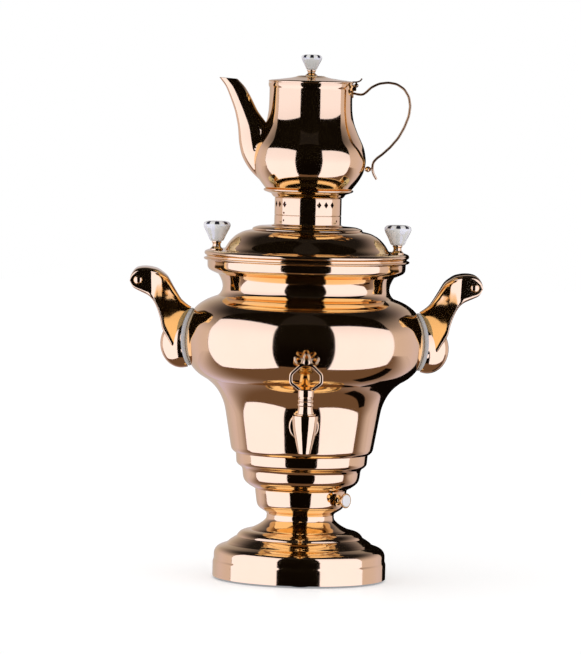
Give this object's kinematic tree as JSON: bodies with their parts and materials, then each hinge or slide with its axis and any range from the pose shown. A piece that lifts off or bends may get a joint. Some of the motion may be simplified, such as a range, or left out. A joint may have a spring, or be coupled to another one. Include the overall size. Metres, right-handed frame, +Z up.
{
  "type": "samovar",
  "caption": "Electric tabletop samovar in rose gold with a plug tap, horn handles, a pierced steam collar and a lidded teapot on top",
  "frame": {"origin": "on the urn's axis, in the plane of the three rubber soles that the urn stands on", "axes": "+Z up, -Y towards the user (the tap side), +X to the user's right"},
  "size_m": [0.3384, 0.2586, 0.4997],
  "materials": {
    "rose_gold": "mirror-polished rose gold plate",
    "steel": "satin",
    "aluminium": "cast, matte",
    "brass": "machined",
    "porcelain": "clear glaze over dark petal spots",
    "grey_silicone": "matte silicone",
    "black_rubber": "matte",
    "black_plastic": "moulded, matte"
  },
  "bodies": {
    "urn": {"base_plinth": "rose_gold", "bottom_plate": "black_plastic", "rubber_foot_1": "black_rubber", "rubber_foot_2": "black_rubber", "rubber_foot_3": "black_rubber", "foot_screw_1": "steel", "foot_screw_2": "steel", "foot_screw_3": "steel", "power_inlet": "black_plastic", "inlet_contacts": "brass", "column_stem": "rose_gold", "waist_housing": "rose_gold", "stepped_bowl": "rose_gold", "thermostat": "steel", "thermostat_nut": "rose_gold", "clamp_disc": "steel", "clamp_bridge": "steel", "tie_bolt": "steel", "tie_nut": "steel", "supply_lead": "grey_silicone", "tank_cone": "rose_gold", "tap_body": "rose_gold", "tap_escutcheon": "rose_gold", "tap_gland": "rose_gold", "tap_washer": "grey_silicone", "tap_lock_nut": "brass", "tank_floor": "steel", "heater_plate": "aluminium", "heating_element": "steel", "dry_boil_cutout": "black_plastic", "tank_belly": "rose_gold", "rim_band": "rose_gold", "handle_right": "rose_gold", "handle_gasket_right": "grey_silicone", "handle_pin_right": "rose_gold", "handle_bolt_right": "steel", "handle_left": "rose_gold", "handle_gasket_left": "grey_silicone", "handle_pin_left": "rose_gold", "handle_bolt_left": "steel"},
    "control_knob": {"thermostat_knob": "rose_gold", "thermostat_knob_cap": "porcelain"},
    "tap_key_part": {"tap_key": "rose_gold"},
    "lid": {"lid_dome": "rose_gold", "lid_collar": "rose_gold", "collar_lock_ring": "steel", "teapot_rest": "rose_gold", "lid_ferrule_right": "rose_gold", "lid_knob_right": "porcelain", "lid_ferrule_left": "rose_gold", "lid_knob_left": "porcelain"},
    "steam_ring_part": {"steam_ring": "rose_gold"},
    "teapot": {"teapot_body": "rose_gold", "teapot_spout": "rose_gold", "teapot_handle": "rose_gold", "teapot_handle_stud": "rose_gold", "teapot_hinge_pin": "rose_gold"},
    "teapot_cover": {"teapot_lid": "rose_gold", "teapot_ferrule": "rose_gold", "teapot_knob": "porcelain"}
  },
  "joints": [
    {"name": "lid_lift", "type": "slide", "parent": "urn", "child": "lid", "axis": [0, 0, 1], "range_m": [0, 0.15]},
    {"name": "steam_ring_turn", "type": "hinge", "parent": "lid", "child": "steam_ring_part", "pos_m": [0, 0, 0.3555], "axis": [0, 0, 1], "range_deg": [0, 45]},
    {"name": "teapot_lift", "type": "slide", "parent": "lid", "child": "teapot", "axis": [0, 0, 1], "range_m": [0, 0.15]},
    {"name": "teapot_lid_hinge", "type": "hinge", "parent": "teapot", "child": "teapot_cover", "pos_m": [0.04278, 0, 0.4714], "axis": [0, 1, 0], "range_deg": [0, 80]},
    {"name": "tap_key_turn", "type": "hinge", "parent": "urn", "child": "tap_key_part", "pos_m": [0, -0.132, 0.166], "axis": [0, 0, 1], "range_deg": [0, 90]},
    {"name": "thermostat_knob_turn", "type": "hinge", "parent": "urn", "child": "control_knob", "pos_m": [0.036, -0.0302, 0.079], "axis": [0.766, -0.6428, 0], "range_deg": [0, 270]}
  ]
}
